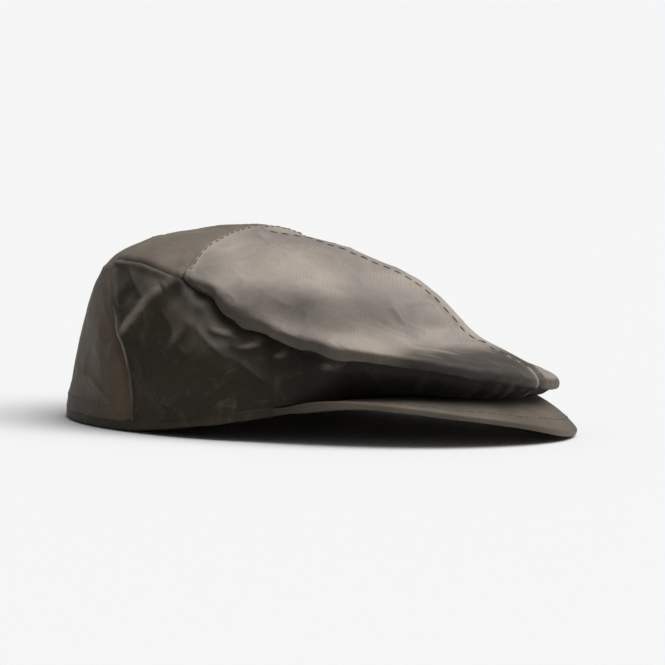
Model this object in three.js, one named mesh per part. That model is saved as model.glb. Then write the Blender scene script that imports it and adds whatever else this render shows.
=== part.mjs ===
// Small waxed flat cap.
// The soft crown is sewn from five cloth panels: two halves over the top and front, one over
// the back, and a long one down each side. A stiff arched peak juts from under the front, and
// a turned hem runs round the opening.
// Millimetres. +Z is up, the front of the cap points along -Y, the wearer's right is -X.
import * as THREE from 'three';
import { mergeVertices } from 'three/addons/utils/BufferGeometryUtils.js';

// Cloth and its seams
const CLOTH = 1.6;
const SEAM_GAP = 0.4;

// The crown is described in upright sections that fan out from an axis through the point
// where its top seams meet. An azimuth is in degrees, 0 at the front centre and 180 at the back.
const CROWN_TOP = 45.7;
const RINGS = ['hem', 'belly', 'seam', 'roll', 'shoulder', 'crease', 'slope', 'dome'];
const SEAM_RING = RINGS.indexOf('seam');
const TOP_RING = RINGS.length;

// The head opening is an oval, measured from the axis: its widest line lies ahead of the axis
const OPENING = { halfWidth: 50, middleAhead: 15, front: 41.5, back: 56 };

// How far each ring above the hem reaches from the axis, a row for each section
const REACH = table(['azimuth', ...RINGS.slice(1)], [
  [0, 72.0, 75.4, 76.6, 73.4, 60.0, 46.5, 27.0],
  [14, 70.0, 73.6, 74.6, 71.2, 58.4, 44.0, 26.0],
  [30, 63.5, 69.2, 70.6, 66.0, 55.0, 41.5, 24.5],
  [42, 59.0, 62.3, 63.9, 60.0, 50.5, 38.0, 22.5],
  [54, 55.6, 53.2, 54.9, 51.3, 43.5, 33.0, 19.5],
  [66, 53.0, 45.8, 47.0, 44.0, 37.5, 28.0, 16.5],
  [77, 50.6, 40.5, 39.9, 37.0, 32.0, 24.5, 14.0],
  [89, 47.4, 37.0, 35.0, 31.5, 26.5, 20.0, 11.5],
  [110, 43.6, 35.5, 33.0, 29.0, 24.0, 18.0, 10.0],
  [130, 40.9, 33.8, 31.5, 27.5, 22.8, 17.0, 9.6],
  [155, 38.8, 31.6, 29.2, 25.4, 21.0, 15.8, 9.0],
  [180, 37.6, 30.2, 27.9, 24.2, 20.0, 15.0, 8.6],
]);

// How high each ring lies over the surface that the cap rests on
const HEIGHT = table(['azimuth', ...RINGS], [
  [0, 11.2, 10.6, 11.8, 13.6, 17.0, 22.4, 33.6, 41.4],
  [14, 11.2, 11.4, 14.2, 16.4, 18.9, 22.6, 33.2, 41.2],
  [30, 11.2, 13.0, 17.6, 19.8, 22.0, 24.2, 32.6, 40.6],
  [42, 10.7, 13.8, 19.4, 21.8, 24.8, 28.8, 35.2, 41.4],
  [54, 9.1, 14.0, 22.0, 24.8, 28.2, 32.6, 37.6, 42.3],
  [66, 6.8, 15.0, 26.0, 28.6, 31.8, 35.6, 39.4, 43.3],
  [77, 5.2, 17.0, 31.4, 33.4, 36.0, 39.0, 41.8, 44.3],
  [89, 3.6, 18.0, 34.8, 36.7, 39.3, 41.7, 43.5, 45.0],
  [110, 2.4, 18.0, 39.4, 40.8, 42.2, 43.4, 44.5, 45.4],
  [130, 2.4, 18.0, 39.2, 40.5, 42.0, 43.3, 44.5, 45.4],
  [155, 2.4, 18.0, 37.4, 39.0, 40.9, 42.6, 44.0, 45.2],
  [180, 2.4, 18.0, 36.6, 38.2, 40.2, 42.0, 43.6, 44.9],
]);

// The front of the crown sags on the wearer's left. Its rings stand lower there by a share of
// how far they lie from the centre seam, less so towards the cross seam and the hem.
const SAG = { share: 0.23, fullAzimuth: 24, endAzimuth: 89, startRing: 0.4 };

// Seams: the cross seam runs out from the axis to either side. The back seam climbs from the
// hem to the rear corner, and a short seam joins the corner to the end of the cross seam. The
// back panel is set back from the side panel's sharp corner by so many times its usual gap.
const CROSS_SEAM_AZIMUTH = 89;
const BACK_SEAM = { hemAzimuth: 99.5, curve: 2.5 };
const CORNER = { azimuth: 128, ring: 1.94, setBack: 3 };

// Folds and dents in the cloth. Each runs from one place to another, given by azimuth (the
// wearer's right is positive) and by ring, and stands proud of the cloth by lift.
const FOLDS = table(['azimuth', 'ring', 'toAzimuth', 'toRing', 'lift', 'width'], [
  [14, 5.3, 20, 5.15, -1.6, 7.0],
  [33, 5.6, 26, 4.9, 1.2, 4.0],
  [74, 3.6, 35, 4.7, 1.0, 5.0],
  [80, 5.0, 36, 6.2, 0.7, 5.0],
  [92, 1.85, 118, 1.2, 1.7, 4.5],
  [104, 1.3, 116, 0.95, 0.9, 3.2],
  [73, 1.9, 79, 1.6, 0.9, 3.0],
  [65, 1.9, 71, 1.6, 0.9, 3.0],
  [53, 1.9, 59, 1.6, 0.9, 3.0],
  [45, 1.9, 50, 1.6, 0.8, 3.0],
  [-14, 5.3, -22, 5.1, -1.2, 7.0],
  [-35, 5.6, -28, 4.9, 1.0, 4.0],
  [-72, 3.6, -36, 4.7, 0.9, 5.0],
  [-93, 1.85, -114, 1.2, 1.4, 4.5],
  [-70, 1.9, -76, 1.6, 0.8, 3.0],
  [-56, 1.9, -61, 1.6, 0.8, 3.0],
]);

// Peak: how far it juts at the front, how far round it reaches, and how high the underside of
// its edge stands from its left end to its right. It falls away towards its edge and thins at
// its ends, and wear has lifted its right side.
const PEAK = {
  depth: 23.2, cornerDepth: 1.2, reachAzimuth: 58, thickness: 2.0, droop: 2.3, fullness: 1.5,
};
const PEAK_ROOT_DROP = 0.6;
const PEAK_END = { azimuth: 8, thickness: 1.0 };
const PEAK_EDGE = table(['azimuth', 'height'], [
  [-58, 6.3],
  [-52, 5.9],
  [-43, 4.3],
  [-32, 1.8],
  [-22, 0.3],
  [-14, 0.2],
  [-6, 0.5],
  [0, 1.4],
  [6, 2.8],
  [14, 4.7],
  [22, 6.1],
  [32, 7.8],
  [43, 8.8],
  [52, 7.9],
  [58, 6.3],
]);

// Turned hem
const HEM = { height: 2.1, thickness: 2.4, proud: 0.5, edge: 0.5 };

// How finely each piece is faceted
const PANEL_COLUMNS = { top: 20, side: 26, back: 13, forward: 10 };
const WALL_ROWS = 7;
const TOP_ROWS = [1, 2, 2, 3, 3, 4];
const PEAK_COLUMNS = 30;
const HEM_STEPS = 72;

// Waxed cloth, in its colours from the photo
const COLOURS = { top: 0x5b5546, back: 0x504d42, side: 0x45412f, peak: 0x565244, hem: 0x3f3b2d };

function table(columns, rows) {
  return rows.map((row) => Object.fromEntries(columns.map((column, i) => [column, row[i]])));
}

const radians = THREE.MathUtils.degToRad;
const degrees = THREE.MathUtils.radToDeg;

// A smooth curve through values at rising places, level at the first of them and wherever the
// values turn or stay the same
function smoothThrough(places, values, levelAtEnd) {
  const last = places.length - 1;
  const slopes = values.map((value, i) => {
    if (i === 0 || (i === last && levelAtEnd)) return 0;
    const next = Math.min(i + 1, last);
    const turns = (value - values[i - 1]) * (values[next] - value) <= 0;
    if (i < last && turns) return 0;
    return (values[next] - values[i - 1]) / (places[next] - places[i - 1]);
  });
  return (place) => {
    const at = THREE.MathUtils.clamp(place, places[0], places[last]);
    const i = Math.min(places.findLastIndex((each) => each <= at), last - 1);
    const span = places[i + 1] - places[i];
    const along = (at - places[i]) / span;
    return hermite(values[i], slopes[i] * span, values[i + 1], slopes[i + 1] * span, along);
  };
}

function hermite(start, startSlope, end, endSlope, t) {
  const t2 = t * t;
  const t3 = t2 * t;
  const fromStart = start * (2 * t3 - 3 * t2 + 1) + startSlope * (t3 - 2 * t2 + t);
  const toEnd = end * (3 * t2 - 2 * t3) + endSlope * (t3 - t2);
  return fromStart + toEnd;
}

function curveOf(rows, column, levelAtEnd) {
  return smoothThrough(rows.map((row) => row.azimuth), rows.map((row) => row[column]), levelAtEnd);
}

// How far the opening's oval lies from the axis
function openingReach(azimuth) {
  const across = Math.sin(radians(azimuth)) / OPENING.halfWidth;
  const reachTo = (length) => {
    const ahead = Math.cos(radians(azimuth)) / length;
    const middle = OPENING.middleAhead / length;
    const bend = across * across + ahead * ahead;
    const lean = ahead * middle;
    return (lean + Math.sqrt(lean * lean + bend * (1 - middle * middle))) / bend;
  };
  const front = reachTo(OPENING.front);
  return front * Math.cos(radians(azimuth)) > OPENING.middleAhead ? front : reachTo(OPENING.back);
}

const reachOf = RINGS.map((ring) => (ring === 'hem' ? openingReach : curveOf(REACH, ring, true)));
const heightOf = RINGS.map((ring) => curveOf(HEIGHT, ring, true));
const peakEdgeHeight = curveOf(PEAK_EDGE, 'height', false);

// The cap is the same on both sides but for its folds, so an azimuth is folded into 0 to 180
function mirrored(azimuth) {
  const turned = Math.abs(azimuth) % 360;
  return turned > 180 ? 360 - turned : turned;
}

function place(azimuth, reach, height) {
  const angle = radians(azimuth);
  return new THREE.Vector3(-reach * Math.sin(angle), -reach * Math.cos(angle), height);
}

// The section at an azimuth, as a smooth curve through its rings and level at the top
const sections = new Map();
function sectionAt(azimuth) {
  const side = mirrored(azimuth);
  if (!sections.has(side)) {
    const reaches = [...reachOf.map((reach) => reach(side)), 0];
    const heights = [...heightOf.map((height) => height(side)), CROWN_TOP];
    const run = [0];
    for (let i = 1; i < reaches.length; i += 1) {
      run.push(run[i - 1] + Math.hypot(reaches[i] - reaches[i - 1], heights[i] - heights[i - 1]));
    }
    sections.set(side, { run, reaches, heights });
  }
  return sections.get(side);
}

function slopeAt(values, run, i) {
  if (i === 0) return (values[1] - values[0]) / (run[1] - run[0]);
  if (i === values.length - 1) return (values[i] - values[i - 1]) / (run[i] - run[i - 1]);
  const before = (values[i] - values[i - 1]) / (run[i] - run[i - 1]);
  const after = (values[i + 1] - values[i]) / (run[i + 1] - run[i]);
  const share = (run[i] - run[i - 1]) / (run[i + 1] - run[i - 1]);
  return before * (1 - share) + after * share;
}

function alongSection(values, run, ring) {
  const i = Math.min(Math.floor(ring), values.length - 2);
  const span = run[i + 1] - run[i];
  const startSlope = slopeAt(values, run, i) * span;
  const endSlope = slopeAt(values, run, i + 1) * span;
  return hermite(values[i], startSlope, values[i + 1], endSlope, ring - i);
}

function sagAt(azimuth, ring, across) {
  if (azimuth >= 0) return 0;
  const fade = SAG.endAzimuth - SAG.fullAzimuth;
  const forward = THREE.MathUtils.smoothstep(SAG.endAzimuth + azimuth, 0, fade);
  const risen = THREE.MathUtils.smoothstep(ring, SAG.startRing, SEAM_RING);
  return SAG.share * across * forward * risen;
}

function smoothCrown(azimuth, ring) {
  const { run, reaches, heights } = sectionAt(azimuth);
  const point = place(azimuth, alongSection(reaches, run, ring), alongSection(heights, run, ring));
  point.z -= sagAt(azimuth, ring, point.x);
  return point;
}

// Which way the cloth faces
const NUDGE = { azimuth: 0.4, ring: 0.02 };
function facing(azimuth, ring) {
  if (ring > TOP_RING - NUDGE.ring) return new THREE.Vector3(0, 0, 1);
  const lower = Math.max(ring - NUDGE.ring, 0);
  const up = smoothCrown(azimuth, ring + NUDGE.ring).sub(smoothCrown(azimuth, lower));
  const round = smoothCrown(azimuth + NUDGE.azimuth, ring).sub(smoothCrown(azimuth - NUDGE.azimuth, ring));
  return up.cross(round).normalize();
}

const foldLines = FOLDS.map((fold) => ({
  ...fold,
  line: new THREE.Line3(smoothCrown(fold.azimuth, fold.ring), smoothCrown(fold.toAzimuth, fold.toRing)),
}));

function foldLift(point) {
  const nearest = new THREE.Vector3();
  return foldLines.reduce((sum, fold) => {
    fold.line.closestPointToPoint(point, true, nearest);
    return sum + fold.lift * Math.exp(-((nearest.distanceTo(point) / fold.width) ** 2));
  }, 0);
}

// Both faces of the cloth at one place of the crown
function clothAt(azimuth, ring) {
  const point = smoothCrown(azimuth, ring);
  const out = facing(azimuth, ring);
  const outer = point.clone().addScaledVector(out, foldLift(point));
  return { outer, inner: outer.clone().addScaledVector(out, -CLOTH) };
}

// A solid from its corner points and the triangles between them
function solidOf(points, triangles) {
  const geometry = new THREE.BufferGeometry();
  const numbers = points.flatMap((point) => point.toArray());
  geometry.setAttribute('position', new THREE.Float32BufferAttribute(numbers, 3));
  geometry.setIndex(triangles);
  const merged = mergeVertices(geometry, 1e-4);
  const corners = Array.from(merged.index.array);
  const kept = [];
  for (let i = 0; i < corners.length; i += 3) {
    const [a, b, c] = corners.slice(i, i + 3);
    if (a !== b && b !== c && c !== a) kept.push(a, b, c);
  }
  merged.setIndex(kept);
  merged.computeVertexNormals();
  return merged;
}

function quad(a, b, c, d) {
  return [a, b, c, a, c, d];
}

// A panel of cloth from a grid of places, its rows climbing and its columns running round. The
// grid may leave places out, and a wall closes the panel wherever its cloth ends.
function panelGeometry(grid) {
  const cells = grid.flat().filter(Boolean);
  const numbers = new Map(cells.map((cell, i) => [cell, i]));
  const points = [...cells.map((cell) => cell.outer), ...cells.map((cell) => cell.inner)];
  const inner = (corner) => corner + cells.length;
  const triangles = [];
  const rim = new Map();
  const addToRim = (start, end) => {
    if (!rim.delete(`${end} ${start}`)) rim.set(`${start} ${end}`, [start, end]);
  };
  for (let i = 0; i < grid.length - 1; i += 1) {
    for (let j = 0; j < grid[i].length - 1; j += 1) {
      const corners = [grid[i][j], grid[i + 1][j], grid[i + 1][j + 1], grid[i][j + 1]];
      if (!corners.every(Boolean)) continue;
      const [a, b, c, d] = corners.map((cell) => numbers.get(cell));
      triangles.push(...quad(a, b, c, d));
      triangles.push(...quad(inner(a), inner(d), inner(c), inner(b)));
      addToRim(a, b);
      addToRim(b, c);
      addToRim(c, d);
      addToRim(d, a);
    }
  }
  rim.forEach(([start, end]) => triangles.push(...quad(end, start, inner(start), inner(end))));
  return solidOf(points, triangles);
}

// How much of an azimuth the cloth stands back from a seam that climbs the crown
function seamAzimuth(azimuth, ring) {
  const { run, reaches } = sectionAt(azimuth);
  return degrees(SEAM_GAP / 2 / Math.max(alongSection(reaches, run, ring), SEAM_GAP));
}

// The place on a section that lies a distance above a ring, for a seam that runs round
function ringAbove(azimuth, ring, distance) {
  const { run } = sectionAt(azimuth);
  const i = Math.min(Math.floor(ring), run.length - 2);
  const along = THREE.MathUtils.lerp(run[i], run[i + 1], ring - i) + distance;
  const found = Math.min(run.findLastIndex((each) => each <= along), run.length - 2);
  return found + (along - run[found]) / (run[found + 1] - run[found]);
}

function stepped(from, to, steps) {
  return Array.from({ length: steps + 1 }, (unused, i) => from + ((to - from) * i) / steps);
}

function topRings() {
  const rings = [SEAM_RING];
  TOP_ROWS.forEach((steps, i) => rings.push(...stepped(SEAM_RING + i, SEAM_RING + i + 1, steps).slice(1)));
  return rings;
}

// Half of the top panel. It starts over the side panel's seam and ends beside the axis.
function crownFront(side) {
  const grid = topRings().map((ring) => {
    const end = Math.min(ring, TOP_RING - 0.012);
    const inset = seamAzimuth(CROSS_SEAM_AZIMUTH, end);
    const azimuths = stepped(inset, CROSS_SEAM_AZIMUTH - inset, PANEL_COLUMNS.top);
    const signed = side > 0 ? azimuths : azimuths.map((azimuth) => -azimuth).reverse();
    return signed.map((azimuth) => (
      clothAt(azimuth, end === SEAM_RING ? ringAbove(azimuth, end, SEAM_GAP / 2) : end)
    ));
  });
  return panelGeometry(grid);
}

// Where a side panel ends at the back, from the hem up to the corner
function backSeamAzimuth(climb) {
  return THREE.MathUtils.lerp(BACK_SEAM.hemAzimuth, CORNER.azimuth, climb ** BACK_SEAM.curve);
}

// Where a side panel ends at the top: under the top panel, then down along the back panel
function sidePanelTop(azimuth) {
  if (azimuth < CROSS_SEAM_AZIMUTH) return SEAM_RING;
  if (azimuth > CORNER.azimuth) return CORNER.ring;
  return THREE.MathUtils.mapLinear(azimuth, CROSS_SEAM_AZIMUTH, CORNER.azimuth, SEAM_RING, CORNER.ring);
}

// The back panel rises between the back seams. Above its corners it is wider, and reaches
// forward on both sides to the cross seam.
function crownRear() {
  const { back, forward } = PANEL_COLUMNS;
  const wall = stepped(0, CORNER.ring, WALL_ROWS).slice(0, -1).map((ring) => {
    const edge = backSeamAzimuth(ring / CORNER.ring);
    const start = edge + seamAzimuth(edge, ring);
    const beside = new Array(forward).fill(null);
    const cells = stepped(start, 360 - start, back * 2).map((azimuth) => (
      clothAt(azimuth, ring === 0 ? ringAbove(azimuth, ring, SEAM_GAP / 2) : ring)
    ));
    return [...beside, ...cells, ...beside];
  });
  const top = topRings().map((ring) => {
    const inset = ring < TOP_RING ? seamAzimuth(CROSS_SEAM_AZIMUTH, ring) : 0;
    const corner = CORNER.azimuth + CORNER.setBack * seamAzimuth(CORNER.azimuth, CORNER.ring);
    const right = [
      ...stepped(CROSS_SEAM_AZIMUTH + inset, corner, forward).slice(0, -1),
      ...stepped(corner, 180, back).slice(0, -1),
    ];
    const left = right.map((azimuth) => 360 - azimuth).reverse();
    return [...right, 180, ...left].map((azimuth) => {
      const seam = sidePanelTop(mirrored(azimuth));
      return clothAt(azimuth, ring === SEAM_RING ? ringAbove(azimuth, seam, SEAM_GAP / 2) : ring);
    });
  });
  return panelGeometry([...wall, ...top]);
}

function sidePanel(side) {
  const grid = stepped(0, 1, WALL_ROWS).map((climb) => {
    const ringThere = climb * CORNER.ring;
    const end = backSeamAzimuth(climb);
    const inset = seamAzimuth(end, ringThere);
    const cells = stepped(0, 1, PANEL_COLUMNS.side).map((along) => {
      const azimuth = THREE.MathUtils.lerp(seamAzimuth(0, ringThere), end - inset, along);
      const top = sidePanelTop(along * CORNER.azimuth);
      const [low, high] = [ringAbove(azimuth, 0, SEAM_GAP / 2), ringAbove(azimuth, top, -SEAM_GAP / 2)];
      return { azimuth: side * azimuth, ring: THREE.MathUtils.lerp(low, high, climb) };
    });
    if (side < 0) cells.reverse();
    return cells.map((cell) => clothAt(cell.azimuth, cell.ring));
  });
  return panelGeometry(grid);
}

// A solid swept through loops of points; a closed sweep joins its last loop to its first
function sweptGeometry(loops, closed) {
  const around = loops[0].length;
  const triangles = [];
  const steps = closed ? loops.length : loops.length - 1;
  for (let i = 0; i < steps; i += 1) {
    const next = (i + 1) % loops.length;
    for (let j = 0; j < around; j += 1) {
      const beside = (j + 1) % around;
      const [near, far] = [i * around, next * around];
      triangles.push(...quad(near + j, near + beside, far + beside, far + j));
    }
  }
  if (!closed) {
    const last = (loops.length - 1) * around;
    for (let j = 1; j < around - 1; j += 1) {
      triangles.push(0, j + 1, j);
      triangles.push(last, last + j, last + j + 1);
    }
  }
  return solidOf(loops.flat(), triangles);
}

// The peak's upper face from its root to its edge, then its rounded edge and its underside
function peakSection(azimuth) {
  const side = Math.abs(azimuth);
  const root = reachOf[0](side) + HEM.proud + SEAM_GAP;
  const share = 1 - (side / PEAK.reachAzimuth) ** 2;
  const depth = PEAK.depth * share ** PEAK.fullness + PEAK.cornerDepth;
  const ending = THREE.MathUtils.smoothstep(PEAK.reachAzimuth - side, 0, PEAK_END.azimuth);
  const half = THREE.MathUtils.lerp(PEAK_END.thickness, PEAK.thickness, ending) / 2;
  const rootHeight = heightOf[0](side) - PEAK_ROOT_DROP - half;
  const edgeHeight = peakEdgeHeight(azimuth) + half;
  const middle = stepped(0, 1, 6).map((out) => (
    { reach: root + depth * out, height: THREE.MathUtils.lerp(rootHeight, edgeHeight, out ** PEAK.droop) }
  ));
  const upper = middle.slice(0, -1).map((at) => place(azimuth, at.reach, at.height + half));
  const lower = middle.slice(0, -1).map((at) => place(azimuth, at.reach, at.height - half)).reverse();
  const tip = middle.at(-1);
  const nose = [60, 0, -60].map((angle) => {
    const turn = radians(angle);
    return place(azimuth, tip.reach - half * (1 - Math.cos(turn)), tip.height + half * Math.sin(turn));
  });
  return [...upper, ...nose, ...lower];
}

function peak() {
  const azimuths = stepped(-PEAK.reachAzimuth, PEAK.reachAzimuth, PEAK_COLUMNS);
  return sweptGeometry(azimuths.map((azimuth) => peakSection(azimuth).reverse()), false);
}

// The turned hem, a rounded strip under the lower edge of the panels
function hemSection(azimuth) {
  const side = mirrored(azimuth);
  const outer = reachOf[0](side) + HEM.proud;
  const inner = outer - HEM.thickness;
  const top = heightOf[0](side) - SEAM_GAP;
  const foot = top - HEM.height;
  const corners = [
    [outer - HEM.edge, foot],
    [outer, foot + HEM.edge],
    [outer, top - HEM.edge],
    [outer - HEM.edge, top],
    [inner, top],
    [inner, foot],
  ];
  return corners.map(([reach, height]) => place(azimuth, reach, height));
}

function hemBand() {
  const azimuths = stepped(0, 360, HEM_STEPS).slice(0, -1);
  return sweptGeometry(azimuths.map(hemSection), true);
}

const cap = new THREE.Group();

function add(name, geometry, colour) {
  const cloth = new THREE.MeshStandardMaterial({ color: colour, roughness: 0.55, metalness: 0 });
  const mesh = new THREE.Mesh(geometry, cloth);
  mesh.name = name;
  cap.add(mesh);
}

add('crown_front_right', crownFront(1), COLOURS.top);
add('crown_front_left', crownFront(-1), COLOURS.top);
add('crown_rear', crownRear(), COLOURS.back);
add('side_panel_right', sidePanel(1), COLOURS.side);
add('side_panel_left', sidePanel(-1), COLOURS.side);
add('peak', peak(), COLOURS.peak);
add('hem_band', hemBand(), COLOURS.hem);

// The origin goes under the middle of the cap, on the surface that it rests on
const bounds = new THREE.Box3().setFromObject(cap);
const middle = bounds.getCenter(new THREE.Vector3());
cap.position.set(-middle.x, -middle.y, -bounds.min.z);

const group = new THREE.Group();
group.add(cap);

export default group;
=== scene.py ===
import math
from collections import deque

import bmesh
import bpy
import numpy as np
from bpy.props import FloatProperty, FloatVectorProperty, PointerProperty
from mathutils import Matrix, Vector, noise
from mathutils.bvhtree import BVHTree
from mathutils.kdtree import KDTree


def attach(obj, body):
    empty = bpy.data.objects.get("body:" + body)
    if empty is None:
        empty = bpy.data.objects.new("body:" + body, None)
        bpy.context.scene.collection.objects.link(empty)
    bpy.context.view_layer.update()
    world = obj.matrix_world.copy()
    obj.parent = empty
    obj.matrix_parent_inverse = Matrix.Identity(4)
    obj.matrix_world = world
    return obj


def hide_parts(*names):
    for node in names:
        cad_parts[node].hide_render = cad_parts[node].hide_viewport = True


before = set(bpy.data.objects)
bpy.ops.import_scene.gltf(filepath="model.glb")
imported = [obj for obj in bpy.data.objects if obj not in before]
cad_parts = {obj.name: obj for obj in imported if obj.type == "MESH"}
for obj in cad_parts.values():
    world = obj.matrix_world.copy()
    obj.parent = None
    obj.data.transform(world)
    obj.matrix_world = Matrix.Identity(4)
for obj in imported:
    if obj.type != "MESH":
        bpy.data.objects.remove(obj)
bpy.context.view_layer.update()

bl_info = {
    "name": "Waxed flat cap",
    "version": (1, 0, 0),
    "blender": (4, 5, 0),
    "location": "View3D > Sidebar > Cap",
    "description": "Dresses the cap's solids as waxed cotton cloth with seams, creases and stitches",
    "category": "Object",
}

MM = 0.001

# Points of a solid that are closer together than this are one point
WELD = 0.002 * MM

# The thickness of a panel's wall in the solids, and how far a found thickness may be off
CAD_WALL = 1.6 * MM
WALL_SLACK = 0.05 * MM

# The crown's sections fan out from this axis, on the cap's Y
AXIS_Y = 20.1 * MM

# The view from the wearer's right front, in degrees
VIEW_AZIMUTH = -65.0
VIEW_ELEVATION = 5.0
VIEW_ROLL = 1.6

# Each crown panel, its material slot, how often its grid of quads is halved and how much
# light is painted on its top, where it faces up
PANELS = {
    "crown_front_right": ("crown_cloth", 3, 0.82),
    "crown_front_left": ("crown_cloth", 3, 0.82),
    "crown_rear": ("rear_cloth", 3, 0.34),
    "side_panel_right": ("side_cloth", 3, 0.26),
    "side_panel_left": ("side_cloth", 3, 0.26),
}

# The peak and the hem: their slots, how often their quads are halved and how far the upper
# outer edge is raised to a lip, in mm
SOLIDS = {
    "peak": ("peak_cloth", 3, 0.0),
    "hem_band": ("hem_cloth", 3, 0.6),
}

# Seams: the panel that laps over, the panel that is tucked under and how they lie
SEAMS = [
    ("crown_front_right", "crown_front_left", "centre"),
    ("crown_front_right", "crown_rear", "lapped"),
    ("crown_front_left", "crown_rear", "lapped"),
    ("side_panel_right", "crown_rear", "pointed"),
    ("side_panel_left", "crown_rear", "pointed"),
    ("side_panel_right", "side_panel_left", "lapped"),
    ("crown_front_right", "side_panel_right", "rolled"),
    ("crown_front_left", "side_panel_left", "rolled"),
]

# A panel's rim belongs to a seam or to the hem where the other rim or the hem is this near
SEAM_REACH = 1.2 * MM
HEM_REACH = 2.6 * MM

# Points of the cloth this close together are merged, first all of them and then those inside
# the rim, and points this near the rim are taken out
RIM_MERGE = 0.4 * MM
CROWDED = 1.1 * MM
RIM_CLEAR = 1.2 * MM

# Two triangles become a quad up to these angles between their faces and off its corners, and
# an edge of the peak or the hem that turns by more than the last stays sharp, in degrees
QUAD_FACES = 80.0
QUAD_CORNERS = 170.0
SHARP_EDGE = 66.0

# The distances to a seam are worked out for this many points at a time
POINTS_AT_ONCE = 2000

# How far the cloth stands proud beside a seam, a row for each bump or dip: which side of the
# seam, its height, how far from the seam its crest is and its width, in mm
SEAM_SHAPES = {
    ("lapped", "over"): [(0.38, 1.0, 0.9), (-0.6, 0.0, 0.4)],
    ("lapped", "under"): [(-0.8, 0.0, 0.9)],
    ("pointed", "over"): [(0.38, 1.0, 0.9), (-0.6, 0.0, 0.4)],
    ("pointed", "under"): [(-0.8, 0.0, 0.9)],
    ("centre", "over"): [(0.3, 1.2, 1.0), (-0.6, 0.0, 0.4)],
    ("centre", "under"): [(-0.8, 0.0, 0.8), (0.55, 2.6, 1.6)],
    ("rolled", "over"): [(0.6, 2.0, 1.9), (-1.1, 0.0, 0.55)],
    ("rolled", "under"): [(-1.3, 0.0, 1.5)],
    ("hemmed", "over"): [(0.35, 0.0, 2.2)],
}

# How far a panel is tucked under the one that laps over it, or into the hem, in mm, how far
# from its edge that stretches it, and how often the stretch is blended with its surroundings
TUCKS = {"lapped": 1.4, "pointed": 1.2, "centre": 1.5, "rolled": 1.7}
HEM_TUCK = 0.6
TUCK_WIDTH = 1.2
PUSH_PASSES = 5

# Where seams meet, each counts by this power of its distance in mm, to which a little is added
SHARE_POWER = -4
SHARE_BLEND = 0.3

# Under a sharp tip the cloth is tucked along the tip: how much of the tip's rim gives its
# direction, and how far from the tip that counts, in mm
TIP_REACH = 4.0 * MM
TIP_WIDTH = 2.6

# A rolled seam leaves a panel still where the hem is nearer to it than this, in mm, and moves
# it fully where the hem is further away by the blend
NARROW = 2.5
NARROW_BLEND = 7.0

# The pale line where the edge that laps over is rubbed: its strength, how far from the seam it
# lies and its width, in mm
RUBBED = {
    "lapped": (1.0, 0.7, 0.8),
    "pointed": (1.0, 0.7, 0.7),
    "centre": (1.2, 1.0, 1.2),
    "rolled": (0.3, 0.7, 0.7),
}

# How much of the rubbing shows where it is even, beside a seam and along a crease, where it
# also paints the crease's highlight
SEAM_RUB = 0.65
CREASE_PALE = 0.9

# How bends of the panels and of the peak and hem are rubbed: how often they are blended, how
# strongly they show and the most they can, then how strongly seams and creases show, the
# creases with their painted highlights
PANEL_BENDS = {"passes": 3, "strength": 1.5, "most": 0.8}
SOLID_BENDS = {"passes": 4, "strength": 0.9, "most": 0.9}
EDGE_PALENESS = 0.8

# How dark the painted shadow line along a rolled seam is on either side, its width in mm, and
# how dark a bend makes the painted shade in a hollow
SEAM_SHADOW = {"over": 0.9, "under": 1.0}
SEAM_SHADOW_WIDTH = {"over": 0.5, "under": 1.3}
BEND_SHADE = 1.4

# Jogs of the rolled seam, seen from the right front: how far across, its rise in seam jogs
# and its width in mm. The last is how far from the seam they reach
JOGS = [
    (-27.0, 0.8, 1.8),
    (-23.2, -0.9, 1.6),
    (-18.9, -1.2, 2.0),
    (-14.5, 0.4, 1.8),
    (-3.0, 0.7, 2.0),
    (3.1, -0.6, 2.4),
]
JOG_REACH = 5.0

# Puckers beside a rolled seam: their height as a share of the setting and how far they reach
# on either side, where their crest lies, in mm, and how much they are squashed upwards
PUCKERS = {"over": (0.5, 3.2), "under": (1.6, 5.5)}
PUCKER_CREST = 1.6
PUCKER_SQUASH = [1.0, 1.0, 0.3]

# Creases seen from the right front: from and to, across and up from the middle of the cap's
# foot, then how proud each stands and its width, in mm, and how much it is rubbed pale, which
# also paints a highlight along it
CREASES = [
    (-31.5, 34.6, -37.2, 31.8, 0.8, 1.8, 1.1),
    (-38.6, 30.6, -46.8, 20.6, 1.1, 1.6, 1.4),
    (-33.5, 30.0, -43.0, 18.0, -0.7, 2.6, 0.0),
    (-41.0, 34.5, -48.5, 25.0, -0.6, 2.2, 0.0),
    (-30.5, 29.8, -26.0, 28.6, -0.9, 1.6, 0.0),
    (-25.4, 27.2, -31.0, 23.4, 0.55, 1.5, 0.8),
    (-31.8, 22.4, -36.6, 16.8, 0.5, 1.9, 0.45),
    (-26.0, 21.9, -21.2, 21.5, 0.6, 1.2, 1.2),
    (-20.5, 18.2, -14.5, 18.8, 0.5, 1.2, 0.9),
    (-12.0, 15.9, -7.5, 16.9, 0.45, 1.1, 0.6),
    (-1.0, 14.2, 5.5, 14.5, 0.4, 1.1, 0.7),
    (-25.0, 32.9, -7.0, 32.3, 0.45, 1.7, 0.1),
    (-2.8, 32.1, 11.2, 30.9, 0.45, 1.7, 0.1),
    (15.4, 28.6, 20.8, 21.8, 0.6, 1.5, 0.3),
    (18.5, 20.4, 36.0, 19.9, 0.8, 1.3, 0.5),
    (24.5, 23.7, 33.0, 22.6, -0.35, 2.4, 0.0),
    (-11.5, 20.9, 17.0, 20.4, 0.35, 1.4, 0.4),
]

# Each crease fades out this share of its length beyond either end, and is rubbed pale, with its
# painted highlight, over this share of its width
CREASE_END = 0.15
CREASE_PALE_WIDTH = 0.8

# The fine creases all over: how sharp they are and the share of the smaller ones
FOLD_POWER = 5
FINER_SHARE = 0.35

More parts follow.
